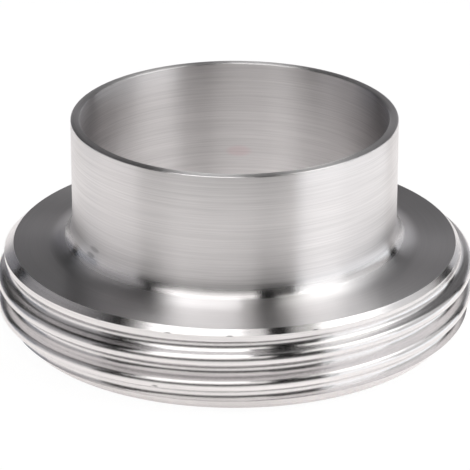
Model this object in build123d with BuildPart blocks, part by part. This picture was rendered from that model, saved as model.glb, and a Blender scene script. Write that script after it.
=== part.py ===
from build123d import *

import os
from math import asin, cos, degrees, radians, sin, sqrt, tan

# Threaded weld ferrule of a DN 50 dairy pipe union, turned from one piece of stainless bar.
#
# A short tube end, to be butt-welded to a 53 mm pipe, stands on a threaded collar.
# The collar carries a round (knuckle) thread, Rd 78 x 1/6 inch, for the slotted union nut.
# Its underside is bored out for the cone of the mating liner and for the seal ring.
#
# Frame: millimetres, +Z along the bore towards the weld end, origin at the centre of the sealing end.

# ---- Driving dimensions ----

INCH = 25.4
CUT_CLEARANCE = 1.0  # how far a cutting shape reaches past the metal it cuts

# Tube end
overall_length = 35.0
tube_outer_d = 53.0
tube_wall = 1.5
weld_edge_break = 0.2  # small chamfers inside and outside on the weld end
foot_radius = 4.0  # hollow fillet between the tube and the collar

# Collar
collar_height = 13.8
upper_chamfer_reach = 2.8  # radial width of the chamfer on the collar's upper face
upper_chamfer_angle = 45.0  # from the axis
entry_chamfer_reach = 3.5  # radial width of the chamfer that starts the thread
entry_chamfer_angle = 45.0  # from the axis

# Round thread: crest and root are arcs of one radius, joined by straight flanks
thread_major_d = 78.0
threads_per_inch = 6
thread_depth_ratio = 0.5  # depth as a share of the pitch
flank_half_angle = 15.0
crest_flat = 0.25  # narrow land that stays on the crest
groove_height_at_x = -0.13  # a groove's root passes the +X side at this height
crest_chords = 2  # chords that stand for each half of a crest's arc
root_chords = 3  # chords that stand for a root's arc
thread_overrun = 2.5  # how far the groove is carried past the collar's face

# Underside: cone for the liner, then the groove of the seal ring round the bore
cone_depth = 7.5
cone_half_angle = 15.0
collar_wall = 7.0  # from the seal ring's groove out to the thread's crest
seal_groove_depth = 3.5
seal_lip_wall = 1.0  # lip between the seal groove and the bore
seal_lip_setback = 0.5  # how far the lip stays back from the bottom of the cone

# ---- Derived dimensions ----

tube_r = tube_outer_d / 2
bore_r = tube_r - tube_wall
major_r = thread_major_d / 2
pitch = INCH / threads_per_inch
thread_depth = thread_depth_ratio * pitch

# Arc radius that is tangent to flanks passing through the pitch line at a quarter of the pitch
flank = radians(flank_half_angle)
quarter_width = pitch / 4
half_depth = thread_depth / 2
arc_r = (quarter_width * cos(flank) - half_depth * sin(flank)) / (1 - sin(flank))
crest_rise = arc_r - sqrt(arc_r**2 - (crest_flat / 2) ** 2)  # arc above the turned land
crest_centre_r = major_r + crest_rise - arc_r
root_centre_r = major_r + crest_rise - thread_depth + arc_r

seal_ring_r = major_r - collar_wall
cone_mouth_r = seal_ring_r + cone_depth * tan(radians(cone_half_angle))
seal_groove_end = cone_depth + seal_groove_depth
seal_lip_end = cone_depth + seal_lip_setback
seal_lip_r = bore_r + seal_lip_wall

upper_chamfer_length = upper_chamfer_reach / tan(radians(upper_chamfer_angle))
entry_chamfer_length = entry_chamfer_reach / tan(radians(entry_chamfer_angle))

# Groove section, as radius and height from its root: down one flank, round the root, up the other
land_angle = degrees(asin(crest_flat / 2 / arc_r))
flank_normal = 90 - flank_half_angle
crest_angles = [
    land_angle + (flank_normal - land_angle) * i / crest_chords for i in range(crest_chords + 1)
]
root_angles = [
    -flank_normal + 2 * flank_normal * i / root_chords for i in range(root_chords + 1)
]
lower_crest = [
    (crest_centre_r + arc_r * cos(radians(a)), arc_r * sin(radians(a)) - pitch / 2)
    for a in crest_angles
]
root = [(root_centre_r - arc_r * cos(radians(a)), arc_r * sin(radians(a))) for a in root_angles]
upper_crest = [(r, -z) for r, z in reversed(lower_crest)]
outside_r = major_r + CUT_CLEARANCE
lower_side = [(outside_r, lower_crest[0][1])]
upper_side = [(outside_r, upper_crest[-1][1])]
groove_section = lower_side + lower_crest + root + upper_crest + upper_side


with BuildPart() as threaded_ferrule:
    # Turned blank: half section, from the sealing end round to the weld end and down the bore
    with BuildSketch(Plane.XZ):
        with BuildLine():
            Polyline(
                (cone_mouth_r, 0),
                (major_r - entry_chamfer_reach, 0),
                (major_r, entry_chamfer_length),
                (major_r, collar_height - upper_chamfer_length),
                (major_r - upper_chamfer_reach, collar_height),
                (tube_r, collar_height),
                (tube_r, overall_length - weld_edge_break),
                (tube_r - weld_edge_break, overall_length),
                (bore_r + weld_edge_break, overall_length),
                (bore_r, overall_length - weld_edge_break),
                (bore_r, seal_lip_end),
                (seal_lip_r, seal_lip_end),
                (seal_lip_r, seal_groove_end),
                (seal_ring_r, seal_groove_end),
                (seal_ring_r, cone_depth),
                close=True,
            )
        make_face()
    revolve(axis=Axis.Z)

    # Hollow fillet at the foot of the tube
    foot = (
        threaded_ferrule.edges()
        .filter_by(GeomType.CIRCLE)
        .filter_by(lambda edge: abs(edge.radius - tube_r) < weld_edge_break / 2)
        .sort_by(Axis.Z)[0]
    )
    fillet(foot, radius=foot_radius)

    # Right-hand round thread: one groove section carried up a helix, past both ends of the collar
    helix_start = groove_height_at_x - pitch
    helix_height = collar_height + thread_overrun - helix_start
    with BuildLine():
        groove_path = Helix(
            pitch=pitch,
            height=helix_height,
            radius=root_centre_r,
            center=(0, 0, helix_start),
        )
    with BuildSketch(Plane.XZ):
        with BuildLine():
            Polyline(*[(r, z + helix_start) for r, z in groove_section], close=True)
        make_face()
    sweep(path=groove_path, is_frenet=True, mode=Mode.SUBTRACT)

threaded_ferrule.part.label = "threaded_ferrule"

os.makedirs("parts", exist_ok=True)
export_step(threaded_ferrule.part, "parts/threaded_ferrule.step")
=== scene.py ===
from math import cos, pi, radians, sin, tan

import bmesh
import bpy
import numpy as np
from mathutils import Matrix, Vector


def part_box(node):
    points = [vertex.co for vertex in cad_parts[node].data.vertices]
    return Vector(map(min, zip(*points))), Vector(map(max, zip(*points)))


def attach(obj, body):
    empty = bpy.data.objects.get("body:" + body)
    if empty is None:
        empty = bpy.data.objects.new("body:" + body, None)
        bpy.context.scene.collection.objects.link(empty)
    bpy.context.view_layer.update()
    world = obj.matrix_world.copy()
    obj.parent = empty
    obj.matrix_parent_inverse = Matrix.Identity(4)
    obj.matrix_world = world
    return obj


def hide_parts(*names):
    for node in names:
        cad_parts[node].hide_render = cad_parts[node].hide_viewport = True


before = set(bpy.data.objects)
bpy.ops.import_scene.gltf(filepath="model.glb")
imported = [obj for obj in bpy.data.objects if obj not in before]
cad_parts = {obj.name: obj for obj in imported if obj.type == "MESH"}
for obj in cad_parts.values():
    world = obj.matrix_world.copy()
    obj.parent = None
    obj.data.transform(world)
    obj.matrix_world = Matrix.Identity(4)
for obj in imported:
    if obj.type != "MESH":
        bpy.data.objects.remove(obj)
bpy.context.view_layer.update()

# ---- threaded ferrule ---------------------------------------------------------------------
# The whole object is one turning of stainless steel: a plain tube stub for the weld, an open
# face, and a thick collar with a coarse right-hand knuckle thread. The thread is cut from the
# collar, and its last ridge is dressed down to a narrow land as it fades out under the face.
MM = 0.001
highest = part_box("threaded_ferrule")[1]
major_radius = round(highest[0] / MM, 3)
top = round(highest[2] / MM, 3)

pitch = 25.4 / 6
flank = radians(15)
round_radius = pitch / 4 * (cos(flank) - sin(flank)) / (1 - sin(flank))
root_radius = major_radius - pitch / 2
first_crest = 1.95

face_height, face_radius = 13.78, 36.2
nose_radius, nose_height = 35.5, 3.5
chamfer_foot = face_height - (major_radius - face_radius)
tube_radius, bore_radius = 26.5, 25.0
foot_fillet = 4.2
weld_edge = 0.2
lip_radius, lip_height = 26.0, 8.0
groove_radius, groove_floor = 32.0, 11.0
cone_depth, mouth_radius = 7.5, 34.01

# the land starts half a turn round from +X, and passes +X before it ends at 0.4 of a turn
land_start, land_end = 0.5, 0.4
land_least, land_drop, land_fade = 36.9, 0.9, 8.0


def thread_radius(turns, z):
    """Knuckle thread: round crest, flanks 15 degrees off square, round root.

    u is the height from the nearest crest and v the height from the nearest root. The rounds
    are circles of one radius, and the flank is the straight line that touches both.
    """
    lead = (z - first_crest) / pitch - turns
    u = np.abs(lead - np.round(lead)) * pitch
    v = pitch / 2 - u
    reach = round_radius * cos(flank)
    crest = major_radius - round_radius + np.sqrt(np.maximum(round_radius**2 - u**2, 0))
    root = root_radius + round_radius - np.sqrt(np.maximum(round_radius**2 - v**2, 0))
    side = major_radius - round_radius + round_radius * sin(flank) - (u - reach) / tan(flank)
    return np.where(u <= reach, crest, np.where(v <= reach, root, side))


def land_radius(turns):
    """Radius of the dressed land: its least plus a drop that dies away with the turns past."""
    past = turns + (turns < land_end) - land_start
    return land_least + land_drop * np.exp(-past * land_fade)


def blank_radius(turns, z):
    """The turning before its thread is cut: the least of nose, cylinder, chamfer and land.

    The land is there only above the thread's last root.
    """
    heights = [0, nose_height, chamfer_foot, face_height]
    radii = [nose_radius, major_radius, major_radius, face_radius]
    last_root = first_crest + pitch * (1.5 + turns + (turns < land_end))
    land = np.where(z > last_root, land_radius(turns), major_radius)
    return np.minimum(np.interp(z, heights, radii), land)


def even_shares(count):
    """Places in one pitch, from -0.5 to 0.5, evenly spaced along the thread's outline."""
    place = np.linspace(-0.5, 0.5, 4001)
    radius = thread_radius(0.0, first_crest + place * pitch)
    steps = np.hypot(np.diff(radius), np.diff(place) * pitch)
    way = np.concatenate([[0], np.cumsum(steps)])
    return np.interp(np.arange(count) / count * way[-1], way, place)


def snap_to_crossings(turns, z):
    """Moves the nearest row onto each place where thread and blank cross, found by halving."""
    gap = thread_radius(turns, z) - blank_radius(turns, z)
    turns = turns[:, :-1]
    low, high = z[:, :-1].copy(), z[:, 1:].copy()
    crossed = (gap[:, :-1] * gap[:, 1:] < 0) & (high - low > 1e-6)
    start = np.sign(gap[:, :-1])
    for _ in range(20):
        middle = (low + high) / 2
        same = np.sign(thread_radius(turns, middle) - blank_radius(turns, middle)) == start
        low, high = np.where(same, middle, low), np.where(same, high, middle)
    column, row = np.nonzero(crossed)
    crossing = high[column, row]
    nearest = row + (crossing - z[column, row] > z[column, row + 1] - crossing)
    within = (z[column, nearest] > 1e-6) & (z[column, nearest] < face_height - 1e-6)
    z[column[within], nearest[within]] = crossing[within]


def collar_grid(columns, per_turn):
    """Radius and height of the collar's rows, which climb with the thread from nose to face.

    A row's height is its place in the pitch plus the turn times the pitch, and its radius is
    the smaller of the thread's and the blank's.
    """
    turns = np.arange(columns) / columns
    rows = (np.arange(-3, 4)[:, None] + even_shares(per_turn)[None, :]).ravel()
    z = np.clip(first_crest + pitch * (turns[:, None] + rows[None, :]), 0, face_height)
    grid_turns = np.repeat(turns[:, None], z.shape[1], 1)
    snap_to_crossings(grid_turns, z)
    land_top = face_height + face_radius - land_radius(turns)
    land_top = np.clip(land_top, 0, face_height - 0.05)
    nearest = np.abs(z - land_top[:, None]).argmin(1)
    z[np.arange(columns), nearest] = land_top
    return np.minimum(thread_radius(grid_turns, z), blank_radius(grid_turns, z)), z


def bend(radius, height, size, start, end, count):
    """A round stretch of the profile about (radius, height), from start to end in degrees."""
    angle = np.radians(np.linspace(start, end, count))
    return np.stack([radius + size * np.cos(angle), height + size * np.sin(angle)], -1)


def body_profile():
    """Radius and height from the face, over the tube and down the bore, to the cone mouth.

    Straight walls are cut into a few rows, so that no face is too long and thin.
    """
    return np.concatenate(
        [
            [(face_radius - 0.02, face_height), (33.0, face_height)],
            bend(tube_radius + foot_fillet, face_height + foot_fillet, foot_fillet, 270, 180, 17),
            [(tube_radius, 22.0), (tube_radius, 28.0)],
            bend(tube_radius - weld_edge, top - weld_edge, weld_edge, 0, 90, 5),
            bend(bore_radius + weld_edge, top - weld_edge, weld_edge, 90, 180, 5),
            [(bore_radius, height) for height in (28.0, 20.0, 12.0, lip_height)],
            [(lip_radius, lip_height), (lip_radius, groove_floor)],
            [(groove_radius, groove_floor), (groove_radius, cone_depth)],
            [(33.0, 3.76), (mouth_radius, 0.0)],
        ]
    )


def ferrule_mesh(columns=480, per_turn=44):
    """The closed profile carried round the axis, with the collar's rows one pitch higher where
    the last column meets the first."""
    thread_r, thread_z = collar_grid(columns, per_turn)
    body = np.repeat(body_profile()[None], columns, 0)
    radius = np.hstack([thread_r, body[..., 0]])
    height = np.hstack([thread_z, body[..., 1]])
    angle = 2 * pi * np.arange(columns)[:, None] / columns
    points = np.stack([radius * np.cos(angle), radius * np.sin(angle), height], -1)
    rows = np.arange(radius.shape[1])
    here = np.arange(columns)[:, None] * len(rows) + rows[None, :]
    ahead = np.roll(here, -1, 0)
    last = thread_z.shape[1] - 1
    ahead[-1] = np.where(rows <= last, np.minimum(rows + per_turn, last), rows)
    faces = np.stack([here, ahead, np.roll(ahead, -1, 1), np.roll(here, -1, 1)], -1)
    mesh = bpy.data.meshes.new("threaded_ferrule_skin")
    mesh.from_pydata((points.reshape(-1, 3) * MM).tolist(), [], faces.reshape(-1, 4).tolist())
    joined = bmesh.new()
    joined.from_mesh(mesh)
    bmesh.ops.remove_doubles(joined, verts=joined.verts, dist=1e-7)
    bmesh.ops.dissolve_degenerate(joined, edges=joined.edges, dist=1e-8)
    joined.to_mesh(mesh)
    joined.free()
    mesh.shade_smooth()
    mesh.set_sharp_from_angle(angle=radians(28))
    return mesh


class Shade:
    """A node socket of a material or a world that works in plain arithmetic."""

    def __init__(self, tree, socket):
        self.tree, self.socket = tree, socket

    def make(self, kind, *inputs, out=0, **settings):
        """A new node: its settings first, then its sockets in order, where None leaves one be."""
        node = self.tree.nodes.new(kind)
        for name, value in settings.items():
            setattr(node, name, value)
        for place, value in zip(node.inputs, inputs):
            if isinstance(value, Shade):
                self.tree.links.new(value.socket, place)
            elif value is not None:
                place.default_value = value
        return Shade(self.tree, node.outputs[out] if node.outputs else None)

    def maths(self, operation, *others):
        return self.make("ShaderNodeMath", self, *others, operation=operation)

    def __add__(self, other):
        return self.maths("ADD", other)

    def __sub__(self, other):
        return self.maths("SUBTRACT", other)

    def __rsub__(self, other):
        return self * -1 + other

    def __mul__(self, other):
        return self.maths("MULTIPLY", other)

    __radd__, __rmul__ = __add__, __mul__

    def rises(self, low, high):
        """0 at low, 1 at high, and smooth in between."""
        return self.make(
            "ShaderNodeMapRange", self, low, high, 0.0, 1.0, interpolation_type="SMOOTHSTEP"
        )

    def near(self, centre, size):
        """1 at a centre, given in metres, and 0 from one size away in x, y and z."""
        offset = self.make("ShaderNodeVectorMath", self, centre, operation="SUBTRACT")
        share = self.make("ShaderNodeVectorMath", offset, size, operation="DIVIDE")
        return self.make("ShaderNodeVectorMath", share, out=1, operation="LENGTH").rises(1, 0.4)


def turned_stainless():
    """Bare stainless as it leaves the lathe: highlights stretch across the fine tool lines."""
    material = bpy.data.materials.new("turned_stainless")
    material.use_nodes = True
    tree = material.node_tree
    steel = tree.nodes["Principled BSDF"]
    here = Shade(tree, tree.nodes.new("ShaderNodeTexCoord").outputs["Object"])
    x, y, z = (here.make("ShaderNodeSeparateXYZ", here, out=axis) for axis in range(3))
    radius = (x * x + y * y).maths("SQRT")

    # where each turned surface lies, by its distance from the axis
    tube = radius.rises((tube_radius + 1) * MM, tube_radius * MM)
    inside = radius.rises((bore_radius + 0.6) * MM, (bore_radius + 0.4) * MM)
    thread = radius.rises((face_radius - 0.1) * MM, (face_radius + 0.1) * MM)
    fillet = radius.rises((tube_radius + 1.5) * MM, (tube_radius + 1) * MM)
    face = radius.rises((tube_radius + 1) * MM, (tube_radius + 1.5) * MM) - thread
    rough = 0.33 - fillet * 0.14 + tube * 0.12 + inside * 0.08 - thread * 0.13

    # tool lines: noise drawn out round the axis, and narrow along the profile
    profile = z - radius
    lines = here.make("ShaderNodeCombineXYZ", x * 60, y * 60, profile * 4000)
    lines = here.make("ShaderNodeTexNoise", lines, None, 1.0, 3.0, 0.6)
    broad = here.make("ShaderNodeCombineXYZ", x * 25, y * 25, profile * 500)
    broad = here.make("ShaderNodeTexNoise", broad, None, 1.0, 2.0, 0.5)
    level = 1 + (lines - 0.5) * (0.4 - face * 0.25) + (broad - 0.5) * 0.1

    # small marks: painted shade in the crease at the tube's foot, a pit, a pale nick and scratch,
    # and a painted pinkish reflection inside the bore
    # painted shade: the first two spots darken the crease where the tube meets its foot fillet;
    # the third is a pit in the thread
    crease_shade_and_pit = here.near((-0.0229, -0.0137, 0.0165), (0.0016, 0.0016, 0.0005)) * 0.7
    crease_shade_and_pit = crease_shade_and_pit + here.near((-0.0222, -0.0142, 0.0177), (0.0018, 0.0018, 0.0006)) * 0.5
    crease_shade_and_pit = crease_shade_and_pit + here.near((-0.0122, -0.0365, 0.0045), (0.0008, 0.0008, 0.0003)) * 1.5
    pale = here.near((0.0111, -0.0366, 0.0098), (0.0006, 0.0006, 0.0004))
    pale = pale + here.near((-0.0203, -0.0309, 0.0133), (0.00015, 0.0005, 0.0006))
    # painted reflection: a pinkish tint at the back of the bore, made by taking some green and
    # blue out of the colour
    painted_pink_reflection = here.near((0.0007, 0.0250, 0.0192), (0.0028, 0.0030, 0.0013))
    level = level * (1 - crease_shade_and_pit * 0.5) + pale * 0.2
    green, blue = level * (0.765 - painted_pink_reflection * 0.07), level * (0.77 - painted_pink_reflection * 0.06)
    colour = here.make("ShaderNodeCombineXYZ", level * 0.78, green, blue)

    tree.links.new(colour.socket, steel.inputs["Base Color"])
    tree.links.new(rough.socket, steel.inputs["Roughness"])
    steel.inputs["Metallic"].default_value = 1
    steel.inputs["Anisotropic"].default_value = 1
    steel.inputs["Anisotropic Rotation"].default_value = 0.25
    return material


skin = bpy.data.objects.new("threaded_ferrule_skin", ferrule_mesh())
skin.data.materials.append(turned_stainless())
bpy.context.scene.collection.objects.link(skin)
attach(skin, "root")
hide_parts("threaded_ferrule")

# ---- floor and world ----------------------------------------------------------------------
# A white table top in a white room, which only the camera sees as white. The metal sees the
# table glow, as in a light tent, and fade to dark a hand's width in front of the object.
bpy.ops.mesh.primitive_plane_add(size=3)
floor = bpy.context.object
floor.name = "floor"
table_top = bpy.data.materials.new("table_top")
table_top.use_nodes = True
tree = table_top.node_tree
tree.nodes.clear()
paths = tree.nodes.new("ShaderNodeLightPath")
camera_ray = Shade(tree, paths.outputs["Is Camera Ray"])
glossy_ray = Shade(tree, paths.outputs["Is Glossy Ray"])
place = Shade(tree, tree.nodes.new("ShaderNodeTexCoord").outputs["Object"])
nearby = place.make("ShaderNodeSeparateXYZ", place, out=1).rises(-0.17, -0.08)
paper = place.make("ShaderNodeBsdfDiffuse", (0.8, 0.8, 0.8, 1))
glow = place.make("ShaderNodeEmission", (1, 0.955, 0.93, 1), glossy_ray * nearby * 0.57)
shaded = place.make("ShaderNodeBsdfDiffuse", (0.12, 0.12, 0.12, 1))
white = place.make("ShaderNodeEmission", (1, 1, 1, 1), 0.93)
lit = place.make("ShaderNodeAddShader", paper, glow)
shown = place.make("ShaderNodeAddShader", shaded, white)
surface = place.make("ShaderNodeMixShader", camera_ray, lit, shown)
place.make("ShaderNodeOutputMaterial", surface)
floor.data.materials.append(table_top)

world = bpy.data.worlds.new("studio")
world.use_nodes = True
tree = world.node_tree
tree.nodes.clear()
paths = tree.nodes.new("ShaderNodeLightPath")
camera_ray = Shade(tree, paths.outputs["Is Camera Ray"])
room = camera_ray.make("ShaderNodeBackground", (1, 1, 1, 1), camera_ray)
camera_ray.make("ShaderNodeOutputWorld", room)
bpy.context.scene.world = world

# ---- softboxes ----------------------------------------------------------------------------
# Flat panels a metre from the middle, each facing straight in. The gaps between them draw
# the dark lines on the turned metal. A panel of brightness 1 looks white in a mirror.
# name, low corner, high corner, brightness, colour
softboxes = [
    ("over_back", (-0.3, 0.3, 1.0), (1.0, 0.7, 1.0), 0.4, (1, 1, 1)),
    ("over_left_1", (-0.33, -0.05, 1.0), (0.03, 0.3, 1.0), 2.6, (1, 1, 1)),
    ("over_left_2", (-0.55, -0.4, 1.0), (0.05, -0.05, 1.0), 2.1, (1, 0.99, 0.98)),
    ("over_left_3", (-1.0, -0.8, 1.0), (0.22, -0.4, 1.0), 1.5, (1, 0.98, 0.97)),
    ("over_left_4", (-1.0, -1.3, 1.0), (0.33, -0.8, 1.0), 1.05, (1, 0.98, 0.95)),
    ("over_right_1", (0.25, -0.05, 1.0), (1.0, 0.3, 1.0), 1.5, (1, 0.99, 0.96)),
    ("over_right_2", (0.33, -0.4, 1.0), (1.0, -0.05, 1.0), 1.3, (1, 0.99, 0.96)),
    ("right_top", (1.0, -0.8, 1.0), (1.0, 0.7, 1.8), 1.15, (1, 1, 1)),
    ("right_high", (1.0, -1.1, 0.5), (1.0, -0.2, 1.0), 1.05, (1, 1, 1)),
    ("right_middle", (1.0, -0.9, 0.16), (1.0, -0.2, 0.5), 1.15, (1, 0.97, 0.96)),
    ("right_back_high", (1.0, -0.2, 0.5), (1.0, 0.7, 1.0), 0.8, (1, 1, 1)),
    ("right_back_middle", (1.0, -0.2, 0.16), (1.0, 0.7, 0.5), 0.5, (1, 0.95, 0.92)),
    ("right_low", (1.0, -1.1, 0.0), (1.0, 0.7, 0.16), 1.8, (0.89, 0.95, 1)),
    ("left_low", (-1.0, -0.4, 0.0), (-1.0, 0.25, 0.3), 0.55, (1, 0.98, 1)),
    ("left_back_low", (-1.0, 0.25, 0.0), (-1.0, 0.8, 0.3), 0.3, (0.8, 0.87, 1)),
    ("left_high", (-1.0, -0.4, 0.3), (-1.0, 0.8, 1.0), 0.33, (1, 0.98, 1)),
    ("back_low", (-0.35, 1.0, 0.0), (0.35, 1.0, 0.36), 0.45, (1, 0.98, 1)),
    ("back_right_low", (0.35, 1.0, 0.0), (1.0, 1.0, 0.36), 0.6, (0.97, 0.97, 1)),
    ("back_left_low", (-1.0, 1.0, 0.0), (-0.35, 1.0, 0.36), 0.2, (0.9, 0.9, 1)),
    ("back_left_high", (-1.0, 1.0, 0.36), (0.0, 1.0, 1.2), 0.05, (1, 1, 1)),
    ("back_right_high", (0.0, 1.0, 0.36), (1.0, 1.0, 1.2), 0.14, (1, 0.98, 1)),
]
for name, low, high, brightness, colour in softboxes:
    low, high = Vector(low), Vector(high)
    centre, spread = (low + high) / 2, high - low
    flat = min(range(3), key=lambda axis: spread[axis])
    panel = bpy.data.lights.new(name, "AREA")
    panel.shape = "RECTANGLE"
    panel.size, panel.size_y = [spread[axis] for axis in range(3) if axis != flat]
    panel.energy = brightness * pi * panel.size * panel.size_y
    panel.color = colour
    lamp = bpy.data.objects.new(name, panel)
    lamp.location = centre
    if flat < 2:
        facing = Vector([-centre[axis] * (axis == flat) for axis in range(3)])
        lamp.rotation_euler = facing.to_track_quat("-Z", "Y").to_euler()
    lamp.visible_camera = False
    bpy.context.scene.collection.objects.link(lamp)

# ---- camera -------------------------------------------------------------------------------
# A long lens half a metre away, looking down by 22.94 degrees.
lens = bpy.data.cameras.new("camera")
lens.lens = 244.5
lens.sensor_width = 36
camera = bpy.data.objects.new("camera", lens)
camera.location = (0.000067, -0.48204, 0.21818)
camera.rotation_euler = (radians(90 - 22.94), 0, 0)
bpy.context.scene.collection.objects.link(camera)
bpy.context.scene.camera = camera
bpy.context.scene.view_settings.view_transform = "Standard"
